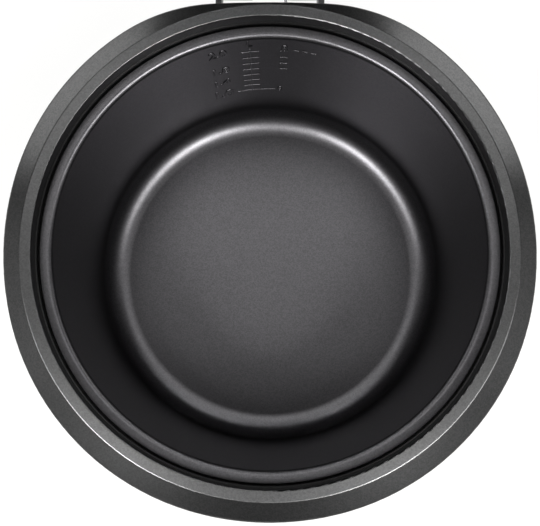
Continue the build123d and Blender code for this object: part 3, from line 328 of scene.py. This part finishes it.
def settle(piece, place):
    """Put a finished piece in its place, with the place in its mesh."""
    deselect()
    piece.select_set(True)
    bpy.context.view_layer.objects.active = piece
    piece.matrix_world = place
    bpy.ops.object.transform_apply(location=True, rotation=True, scale=True)
    return piece


def copy_to(piece, name, shift):
    """A copy of a piece with its own mesh, moved by a vector."""
    deselect()
    piece.select_set(True)
    bpy.context.view_layer.objects.active = piece
    bpy.ops.object.duplicate()
    made = bpy.context.object
    made.name = name
    return settle(made, Matrix.Translation(shift))


def join(name, pieces):
    """Several modelled bits as one piece."""
    deselect()
    for piece in pieces:
        piece.select_set(True)
    bpy.context.view_layer.objects.active = pieces[0]
    bpy.ops.object.join()
    pieces[0].name = name
    return pieces[0]


def dress(material, *names):
    """Give carried-over solids their finish."""
    for name in names:
        nodes[name].data.materials.clear()
        nodes[name].data.materials.append(material)


# ---- Level scale ---------------------------------------------------------------------------------
# Embossed lines, plain numbers and a unit letter on the pot's back wall, pressed out from behind
# before coating: they stand half a millimetre proud, with rounded edges, under the same finish.
scale_relief = 0.0005
stroke = 0.0007
scale_low = 0.0460  # lowest line, above the floor
scale_step = 0.0076
upright_at = -0.0103  # across the wall, from its middle
upright_high = 0.0570
tick_at = (-0.0125, -0.0080)
tick_wide = 0.0044
right_tick_at = 0.0072
right_tick_wide = 0.0040
base_at = (-0.0165, -0.0035, 0.0010)
base_wide = 0.0042
dash_at = 0.0135
dash_step = 0.0045
dash_wide = 0.0026
dash_height = 0.1010


def on_wall(piece, across, height):
    """Stand a flat mark on the pot's back wall, across and up from the floor, facing the axis."""
    reach = rim_r - lean + math.tan(wall_lean) * height
    turn = across / reach
    outward = Vector((math.sin(turn), math.cos(turn), 0.0))
    along = Vector((math.cos(turn), -math.sin(turn), 0.0))
    up = outward * math.sin(wall_lean) + Vector((0.0, 0.0, math.cos(wall_lean)))
    facing = along.cross(up)
    place = Matrix((along, up, facing)).transposed().to_4x4()
    place.translation = outward * reach + Vector((0.0, 0.0, floor_z + height))
    return settle(piece, place)


def bar_mark(across, height, wide, high):
    """One raised bar with softened edges on the pot's wall."""
    deselect()
    bpy.ops.mesh.primitive_cube_add(size=1.0)
    bar = bpy.context.object
    bar.scale = (wide, high, 2 * scale_relief)
    bpy.ops.object.transform_apply(location=False, rotation=False, scale=True)
    soften = bar.modifiers.new("edges", "BEVEL")
    soften.width, soften.segments = scale_relief * 0.6, 2
    bpy.ops.object.modifier_apply(modifier=soften.name)
    return on_wall(bar, across, height)


def number_mark(text, across, height, wide, high):
    """A raised number on the pot's wall, its middle at a place."""
    deselect()
    bpy.ops.object.text_add()
    number = bpy.context.object
    number.data.body = text
    number.data.align_x, number.data.align_y = "CENTER", "CENTER"
    number.data.size = 1.0
    number.data.resolution_u = 3
    number.data.bevel_depth, number.data.bevel_resolution = 0.03, 2
    bpy.ops.object.convert(target="MESH")
    number = bpy.context.object
    spread = number.dimensions
    number.scale = (wide / spread.x, high / spread.y, 2 * scale_relief / spread.z)
    bpy.ops.object.transform_apply(location=False, rotation=False, scale=True)
    return on_wall(number, across, height)


marks = [bar_mark(upright_at, scale_low + upright_high / 2, stroke, upright_high)]
for step in range(8):
    height = scale_low + step * scale_step
    for across in tick_at:
        marks.append(bar_mark(across, height, tick_wide, stroke))
    if step > 3:
        marks.append(bar_mark(right_tick_at, height, right_tick_wide, stroke * 1.2))
for across in base_at:
    marks.append(bar_mark(across, scale_low, base_wide, stroke))
for step in range(3):
    marks.append(bar_mark(dash_at + dash_step * step, dash_height, dash_wide, stroke * 1.6))
marks += [
    number_mark("1.0", -0.0275, 0.0465, 0.0110, 0.0095),
    number_mark("1.4", -0.0275, 0.0640, 0.0090, 0.0070),
    number_mark("1.8", -0.0272, 0.0800, 0.0092, 0.0075),
    number_mark("2.0", -0.0272, 0.1015, 0.0098, 0.0080),
    number_mark("L", -0.0105, 0.1080, 0.0030, 0.0065),
    number_mark("6", 0.0055, 0.0465, 0.0032, 0.0065),
    number_mark("8", 0.0075, 0.1020, 0.0036, 0.0080),
]
level_scale = join("level_scale", marks)
level_scale.data.materials.append(pot_coating)
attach(level_scale, "pot")

# ---- Upper frame, casing, lid shell and latch ----------------------------------------------------
# Injection-moulded in one dark colour with metal flake in it, so the ring, the shoulder, the body's
# shell and the lid all match; the flake gives a quiet sparkle, the polished tool a satin gloss.
frame_finish = flecked(
    "metallic plastic, moulded",
    "#535353",
    spread=0.16,
    fleck_size=0.0006,
    roughness=0.29,
    edge_shine=0.55,
)
dress(frame_finish, "upper_frame", "outer_casing", "lid_shell", "latch_lever")


def grained(name, base, spread, grain, relief, values, stretch=(1.0, 1.0, 1.0)):
    """A finish whose colour and surface vary a little with one grain.

    Stretch draws the grain out along the axes where it is under 1.
    """
    material = new_material(name)
    place = add_node(material, "ShaderNodeTexCoord")
    drawn = add_node(
        material, "ShaderNodeMapping", {"Scale": stretch}, {"Vector": (place, "Object")}
    )
    noise = add_node(
        material,
        "ShaderNodeTexNoise",
        {"Scale": 1.0 / grain, "Detail": 3.0},
        {"Vector": (drawn, "Vector")},
    )
    dark = [c * (1.0 - spread) for c in linear(base)[:3]] + [1.0]
    light = [c * (1.0 + spread) for c in linear(base)[:3]] + [1.0]
    colour = add_node(
        material, "ShaderNodeMix", {6: dark, 7: light}, {0: (noise, "Fac")}, data_type="RGBA"
    )
    bump = add_node(
        material,
        "ShaderNodeBump",
        {"Strength": 0.4, "Distance": relief},
        {"Height": (noise, "Fac")},
    )
    shader = add_node(
        material,
        "ShaderNodeBsdfPrincipled",
        values,
        {"Base Color": (colour, 2), "Normal": (bump, "Normal")},
    )
    add_node(material, "ShaderNodeOutputMaterial", links={"Surface": (shader, "BSDF")})
    return material


# ---- Base pan, inlet socket, sensor guide, lid liner, vent tube and switches ---------------------
# Plain black polypropylene mouldings that carry the screws and the boards. The tool's spark texture
# leaves a fine matte grain, about half a millimetre across, that breaks up reflections.
black_plastic = grained(
    "black polypropylene, moulded", "#232324", 0.18, 0.0005, 0.00006, {"Roughness": 0.48}
)
dress(
    black_plastic,
    "base_pan",
    "inlet_socket",
    "sensor_guide",
    "lid_liner",
    "vent_tube",
    "tact_switches",
)

# ---- Feet ----------------------------------------------------------------------------------------
# Four moulded rubber feet, each pushed by its stem into the base pan. The sole has a rounded
# edge, a grip groove and a shallow hollow; old rubber is dull with a faint bloom.
foot_rubber = grained(
    "nitrile rubber, moulded", "#1E1E1E", 0.25, 0.0008, 0.00008, {"Roughness": 0.8}
)
foot_low, foot_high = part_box("foot_front_left")
foot_r = (foot_high.x - foot_low.x) / 2
foot_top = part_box("base_pan")[0].z
sole_hollow = 0.0008
sole_groove = 0.0006
foot = spun(
    "foot_front_left_rubber",
    [
        (0.0, sole_hollow, 0.0),
        (foot_r * 0.50, sole_hollow, 0.0004),
        (foot_r * 0.55, 0.0, 0.0004),
        (foot_r * 0.68, 0.0, 0.0002),
        (foot_r * 0.70, sole_groove, 0.0002),
        (foot_r * 0.76, sole_groove, 0.0002),
        (foot_r * 0.78, 0.0, 0.0002),
        (foot_r * 0.98, 0.0, 0.0009),
        (foot_r, foot_top, 0.0),
        (foot_r / 3, foot_top, 0.0),
        (foot_r / 3, foot_high.z, 0.0008),
        (0.0, foot_high.z, 0.0),
    ],
    steps=72,
)
foot_at = (foot_low + foot_high) / 2
settle(foot, Matrix.Translation((foot_at.x, foot_at.y, 0.0)))
foot.data.materials.append(foot_rubber)
feet = {"foot_front_left": foot}
for name in ("foot_front_right", "foot_back_left", "foot_back_right"):
    low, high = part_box(name)
    middle = (low + high) / 2
    feet[name] = copy_to(
        foot, name + "_rubber", (middle.x - foot_at.x, middle.y - foot_at.y, 0.0)
    )
for name, piece in feet.items():
    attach(piece, "cooker")
    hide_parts(name)

# ---- Screws --------------------------------------------------------------------------------------
# Zinc-plated pan-head screws with a cross recess: three hold the base pan to the well, three the
# heating plate, and four the lid's liner. Rolled and plated, so they are bright and smooth.
zinc_plate = grained(
    "zinc-plated steel, rolled",
    "#B9BABC",
    0.05,
    0.0004,
    0.00001,
    {"Roughness": 0.22, "Metallic": 1.0},
)


def cross_screw(name, head_r, head_t, shank_r, length):
    """A pan-head screw, head down at the origin, its shank going up."""
    screw = spun(
        name,
        [
            (0.0, 0.0, 0.0),
            (head_r * 0.55, 0.0, 0.0006),
            (head_r, head_t * 0.5, 0.0004),
            (head_r, head_t, 0.0),
            (shank_r, head_t, 0.0),
            (shank_r, length - shank_r / 2, 0.0),
            (shank_r / 2, length, 0.0),
            (0.0, length, 0.0),
        ],
        steps=48,
    )
    for turn in (0.0, math.pi / 2):
        deselect()
        bpy.ops.mesh.primitive_cube_add(size=1.0, rotation=(0.0, 0.0, turn))
        blade = bpy.context.object
        blade.scale = (head_r * 1.1, head_r * 0.2, head_t)
        deselect()
        bpy.context.view_layer.objects.active = screw
        cut = screw.modifiers.new("recess", "BOOLEAN")
        cut.object, cut.operation = blade, "DIFFERENCE"
        bpy.ops.object.modifier_apply(modifier=cut.name)
        bpy.data.objects.remove(blade)
    return screw


def screw_set(name, node, spots, head_r, head_t, shank_r, length, place=Matrix()):
    """Copies of one screw at several spots, joined and put in place."""
    first = cross_screw(name, head_r, head_t, shank_r, length)
    copies = [copy_to(first, name, spot) for spot in spots[1:]]
    settle(first, Matrix.Translation(spots[0]))
    piece = settle(join(name, [first, *copies]), place)
    piece.data.materials.append(zinc_plate)
    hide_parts(node)
    return piece


def round_spots(radius, angles, height):
    """Spots on a circle about the pot's axis."""
    return [
        (radius * math.cos(math.radians(a)), radius * math.sin(math.radians(a)), height)
        for a in angles
    ]


head_r = 0.0038
head_t = 0.0024
shank_r = 0.0019
chassis_ring_r = 0.060
plate_ring_r = 0.062
for name, radius, angles in (
    ("chassis_screws", chassis_ring_r, (90, 210, 330)),
    ("plate_screws", plate_ring_r, (30, 150, 270)),
):
    low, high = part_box(name)
    spots = round_spots(radius, angles, low.z)
    piece = screw_set(
        name + "_plated", name, spots, head_r, head_t, shank_r, high.z - low.z
    )
    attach(piece, "cooker")

# ---- Inner well and keep-warm band ---------------------------------------------------------------
# The well is a can drawn from stainless sheet, with faint upright draw lines. The keep-warm heater
# is a brick-red silicone band glued round it, whose wire shows through as fine ribs.
steel = grained(
    "stainless sheet, drawn",
    "#A9A9A8",
    0.08,
    0.0010,
    0.00002,
    {"Roughness": 0.32, "Metallic": 1.0},
    stretch=(1.0, 1.0, 0.04),
)
dress(steel, "inner_well", "heater_element", "fuse_clip", "hinge_pin", "latch_pin")
heater_band = grained(
    "silicone band, pressed",
    "#8E3A22",
    0.15,
    0.0030,
    0.0002,
    {"Roughness": 0.55},
    stretch=(0.2, 0.2, 1.0),
)
dress(heater_band, "side_heater")

# ---- Heating plate, sensor cap and springs -------------------------------------------------------
# The plate is cast aluminium whose top is turned on a lathe, which leaves rings a fraction of a
# millimetre apart that draw the light out across them. The sensor's cap is turned the same way.
wave_length = 2 * math.pi / 20.0  # of the wave texture at a scale of 1


def turned(name, base, pitch, values, turn=(0.0, 0.0, 0.0), centre=(0.0, 0.0, 0.0)):
    """A turned face: rings about an axis through a centre, as colour and as fine relief."""
    material = new_material(name)
    place = add_node(material, "ShaderNodeTexCoord")
    centred = add_node(
        material,
        "ShaderNodeMapping",
        {"Location": centre, "Rotation": turn},
        {"Vector": (place, "Object")},
        vector_type="TEXTURE",
    )
    rings = add_node(
        material,
        "ShaderNodeTexWave",
        {"Scale": wave_length / pitch, "Distortion": 0.6, "Detail": 1.0},
        {"Vector": (centred, "Vector")},
        wave_type="RINGS",
        rings_direction="Z",
    )
    dark = [c * 0.85 for c in linear(base)[:3]] + [1.0]
    colour = add_node(
        material,
        "ShaderNodeMix",
        {6: dark, 7: linear(base)},
        {0: (rings, "Fac")},
        data_type="RGBA",
    )
    bump = add_node(
        material,
        "ShaderNodeBump",
        {"Strength": 0.3, "Distance": 0.00002},
        {"Height": (rings, "Fac")},
    )
    shader = add_node(
        material,
        "ShaderNodeBsdfPrincipled",
        values,
        {"Base Color": (colour, 2), "Normal": (bump, "Normal")},
    )
    add_node(material, "ShaderNodeOutputMaterial", links={"Surface": (shader, "BSDF")})
    return material


cast_aluminium = turned(
    "cast aluminium, turned", "#B4B4B3", 0.0008, {"Roughness": 0.38, "Metallic": 1.0}
)
dress(cast_aluminium, "heating_plate", "sensor_cap")
dress(zinc_plate, "sensor_spring", "lid_spring", "latch_spring", "lid_sensor")

# ---- Power inlet pins and thermal fuse -----------------------------------------------------------
# Nickel-plated brass pins in the back's socket, and the fuse's plated can under the heating
# plate: a warm, bright metal with a soft polish.
nickel = grained(
    "nickel-plated brass, tumbled",
    "#C4BCAE",
    0.05,
    0.0006,
    0.00001,
    {"Roughness": 0.2, "Metallic": 1.0},
)
dress(nickel, "inlet_pins", "thermal_fuse")

# ---- Circuit boards ------------------------------------------------------------------------------
# Two glass-fibre boards under green solder mask. The copper tracks under the mask show as
# slightly lighter strips a few millimetres apart, with a low gloss over all of it.
solder_mask = grained(
    "solder mask on glass fibre, cured",
    "#1E5B34",
    0.35,
    0.0030,
    0.00003,
    {"Roughness": 0.33},
    stretch=(1.0, 0.15, 0.15),
)
dress(solder_mask, "power_board", "control_board")

# ---- Display and control panel -------------------------------------------------------------------
# A gloss black fascia with a smoked window over a grey-green liquid-crystal display. The
# display's segments are dark; the lamps beside it sit behind amber lenses.
fascia = grained(
    "black acrylic-faced plastic, polished",
    "#101011",
    0.2,
    0.0020,
    0.000004,
    {"Roughness": 0.14, "Coat Weight": 0.3},
)
dress(fascia, "control_panel", "steam_cap")
display_back = grained(
    "liquid-crystal display, laminated",
    "#97A590",
    0.06,
    0.0010,
    0.00001,
    {"Roughness": 0.4},
)
dress(display_back, "lcd_module")
smoked = grained(
    "smoked acrylic, moulded",
    "#BCC0C3",
    0.03,
    0.0030,
    0.000002,
    {"Roughness": 0.02, "IOR": 1.49, "Transmission Weight": 1.0},
)
dress(smoked, "display_window")
amber = grained(
    "amber acrylic, moulded",
    "#D8842A",
    0.05,
    0.0010,
    0.000004,
    {"Roughness": 0.1, "IOR": 1.49, "Transmission Weight": 0.6},
)
dress(amber, "indicator_lenses")

lcd_low, lcd_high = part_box("lcd_module")
digit_high = 0.0120
digit_wide = 0.0062
bar_t = 0.0014
bar_share = 0.92  # of its side of a digit, so that the bars don't touch
digits_at = (-0.0145, -0.0055, 0.0055, 0.0145)
dot_rise = 0.0022
dot_wide = 0.0013
ink_t = 0.00008
ink_lift = 0.0001  # in front of the display
lit = {"1": "bc", "2": "abged", "0": "abcdef"}
bar_places = {
    "a": (0.0, 1.0, 0.0),
    "b": (0.5, 0.5, 1.0),
    "c": (0.5, -0.5, 1.0),
    "d": (0.0, -1.0, 0.0),
    "e": (-0.5, -0.5, 1.0),
    "f": (-0.5, 0.5, 1.0),
    "g": (0.0, 0.0, 0.0),
}


def face_bar(x, z, length, upright):
    """One flat six-cornered segment of the display, facing forward."""
    deselect()
    bpy.ops.mesh.primitive_circle_add(vertices=6, radius=1.0, fill_type="NGON")
    bar = bpy.context.object
    bar.scale = (length / 2, bar_t / 2, 1.0)
    bpy.ops.object.transform_apply(location=False, rotation=False, scale=True)
    thick = bar.modifiers.new("thickness", "SOLIDIFY")
    thick.thickness = ink_t
    bpy.ops.object.modifier_apply(modifier=thick.name)
    turn = Matrix.Rotation(math.radians(90), 4, "X") @ Matrix.Rotation(
        math.radians(90) * upright, 4, "Z"
    )
    return settle(bar, Matrix.Translation((x, lcd_low.y - ink_lift, z)) @ turn)


lcd_z = (lcd_low.z + lcd_high.z) / 2
segments = []
for place, digit in zip(digits_at, "1200"):
    for letter in lit[digit]:
        across, rise, upright = bar_places[letter]
        segments.append(
            face_bar(
                place + across * digit_wide,
                lcd_z + rise * digit_high / 2,
                digit_high / 2 * bar_share if upright else digit_wide * bar_share,
                upright,
            )
        )
for rise in (-dot_rise, dot_rise):
    segments.append(face_bar(0.0, lcd_z + rise, dot_wide, 0.0))
display_digits = join("display_digits", segments)
lcd_ink = grained(
    "liquid-crystal segment, driven", "#101310", 0.05, 0.0010, 0.000004, {"Roughness": 0.4}
)
display_digits.data.materials.append(lcd_ink)
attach(display_digits, "cooker")

# ---- Buttons -------------------------------------------------------------------------------------
# Five satin grey caps, each with a plain mark pad-printed in pale ink: bars for the menu, up and
# down for the hours and minutes, a square to stop and a triangle to start.
button_finish = grained(
    "grey plastic, moulded satin", "#707072", 0.06, 0.0006, 0.00002, {"Roughness": 0.4}
)
print_ink = grained(
    "white ink, pad-printed", "#E6E6E2", 0.04, 0.0004, 0.000004, {"Roughness": 0.55}
)


def printed(shape, turn, x_scale, z_scale, shift):
    """One flat printed shape in front of the panel, before it is pressed on its button."""
    deselect()
    bpy.ops.mesh.primitive_circle_add(vertices=shape, radius=1.0, fill_type="NGON")
    mark = bpy.context.object
    bpy.ops.object.mode_set(mode="EDIT")
    bpy.ops.mesh.select_all(action="SELECT")
    bpy.ops.mesh.inset(thickness=0.3)
    bpy.ops.object.mode_set(mode="OBJECT")
    flat = Matrix.Rotation(math.radians(90), 4, "X")
    size = Matrix.Diagonal((x_scale, z_scale, 1.0, 1.0))
    spin = Matrix.Rotation(math.radians(turn), 4, "Z")
    return settle(mark, Matrix.Translation(shift) @ flat @ size @ spin)


menu_bars = [(4, 45, 0.0030, 0.0005, rise) for rise in (-0.0016, 0.0, 0.0016)]
print_reach = 0.002  # in front of a button before the mark is pressed on it
print_lift = 0.00004
for button, body, shapes in (
    ("menu_button", "menu_key", menu_bars),
    ("hour_button", "hour_key", [(3, 0, 0.0024, 0.0021, -0.0004)]),
    ("minute_button", "minute_key", [(3, 180, 0.0024, 0.0021, 0.0004)]),
    ("cancel_button", "cancel_key", [(4, 45, 0.0030, 0.0030, 0.0)]),
    ("start_button", "start_key", [(3, -90, 0.0030, 0.0030, 0.0)]),
):
    dress(button_finish, button)
    low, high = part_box(button)
    across, middle_z = (low.x + high.x) / 2, (low.z + high.z) / 2
    bits = [
        printed(corners, turn, wide, tall, (across, low.y - print_reach, middle_z + rise))
        for corners, turn, wide, tall, rise in shapes
    ]
    mark = join(button.replace("_button", "_mark"), bits)
    press = mark.modifiers.new("press", "SHRINKWRAP")
    press.target = nodes[button]
    press.wrap_method = "PROJECT"
    press.use_project_y = True
    press.use_positive_direction, press.use_negative_direction = True, True
    press.offset = print_lift
    bpy.ops.object.modifier_apply(modifier=press.name)
    thick = mark.modifiers.new("ink", "SOLIDIFY")
    thick.thickness = ink_t
    bpy.ops.object.modifier_apply(modifier=thick.name)
    mark.data.materials.append(print_ink)
    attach(mark, body)

# ---- Lid's inner plate, gasket and liner screws --------------------------------------------------
# The inner plate is pressed from anodised aluminium, with two stiffening ring beads and six steam
# holes, and pulls off for washing. The gasket round it is soft grey silicone with rounded lips.
lid_open = math.radians(97.0)
hinge = next(j for j in frame["record"]["behaviour"]["joints"] if j["name"] == "lid_hinge")
pivot = Vector(hinge["pos_m"])
lid_swing = (
    Matrix.Translation(pivot)
    @ Matrix.Rotation(-lid_open, 4, "X")
    @ Matrix.Translation(-pivot)
)
lid_gap = 0.0012  # over the frame, with the lid shut
cup_drop = 0.0060  # of the liner's cup, below the lid's lower edge
lid_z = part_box("upper_frame")[1].z + lid_gap
cup_z = lid_z - cup_drop
plate_r = 0.1015
plate_t = 0.0010
plate_rim = 0.0040
bead = 0.0009


def ring_bead(radius):
    """Section points of a pressed bead on the plate's lower face, going outwards."""
    return [
        (radius - 0.0035, cup_z - plate_t, 0.0008),
        (radius - 0.0018, cup_z - plate_t - bead, 0.0008),
        (radius + 0.0018, cup_z - plate_t - bead, 0.0008),
        (radius + 0.0035, cup_z - plate_t, 0.0008),
    ]


lid_plate = spun(
    "inner_plate",
    [
        (0.0, cup_z - plate_t, 0.0),
        *ring_bead(0.030),
        *ring_bead(0.082),
        (plate_r - 0.0040, cup_z - plate_t, 0.0012),
        (plate_r - plate_t, cup_z - plate_rim, 0.0003),
        (plate_r, cup_z - plate_rim, 0.0003),
        (plate_r, cup_z, 0.0010),
        (0.0, cup_z, 0.0),
    ],
    steps=200,
)
vent_y = 0.048
hole_r = 0.00095
hole_ring_r = 0.0045
for k in range(6):
    turn = math.radians(60 * k)
    deselect()
    bpy.ops.mesh.primitive_cylinder_add(
        vertices=20,
        radius=hole_r,
        depth=0.006,
        location=(hole_ring_r * math.cos(turn), vent_y + hole_ring_r * math.sin(turn), cup_z),
    )
    drill = bpy.context.object
    deselect()
    bpy.context.view_layer.objects.active = lid_plate
    cut = lid_plate.modifiers.new("steam hole", "BOOLEAN")
    cut.object, cut.operation = drill, "DIFFERENCE"
    bpy.ops.object.modifier_apply(modifier=cut.name)
    bpy.data.objects.remove(drill)
lid_plate.select_set(True)
bpy.ops.object.shade_smooth_by_angle(angle=smooth_angle)
settle(lid_plate, lid_swing)
plate_centre = lid_swing @ Vector((0.0, 0.0, cup_z))
anodised = turned(
    "anodised aluminium, pressed",
    "#B8B9BA",
    0.0011,
    {"Roughness": 0.36, "Metallic": 1.0},
    turn=(-lid_open, 0.0, 0.0),
    centre=plate_centre,
)
lid_plate.data.materials.append(anodised)
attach(lid_plate, "inner_lid")
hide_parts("lid_plate")

silicone = grained(
    "grey silicone, moulded",
    "#8F8F8D",
    0.08,
    0.0008,
    0.00003,
    {"Roughness": 0.5, "Subsurface Weight": 0.1, "Subsurface Scale": 0.002},
)
gasket_in, gasket_lip, gasket_out = 0.1022, 0.1064, 0.1087
gasket_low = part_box("inner_pot")[1].z + 0.0003
gasket_mid = (gasket_low + cup_z) / 2
gasket = spun(
    "gasket",
    [
        (gasket_in + 0.001, cup_z, 0.0),
        (gasket_out, cup_z, 0.0006),
        (gasket_out, gasket_low, 0.0008),
        (gasket_lip, gasket_low, 0.0008),
        (gasket_lip, gasket_mid, 0.0008),
        (gasket_in, gasket_mid, 0.0008),
        (gasket_in, cup_z, 0.0006),
        (gasket_in + 0.001, cup_z, 0.0),
    ],
    steps=200,
)
settle(gasket, lid_swing)
gasket.data.materials.append(silicone)
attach(gasket, "lid")
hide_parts("lid_gasket")
dress(silicone, "plate_grommet")
liner_ring_r = 0.1147
liner_screws = screw_set(
    "liner_screws",
    "lid_screws",
    round_spots(liner_ring_r, (30, 150, 210, 330), lid_z),
    head_r=0.00285,
    head_t=0.0011,
    shank_r=0.0016,
    length=0.01285,
    place=lid_swing,
)
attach(liner_screws, "lid")
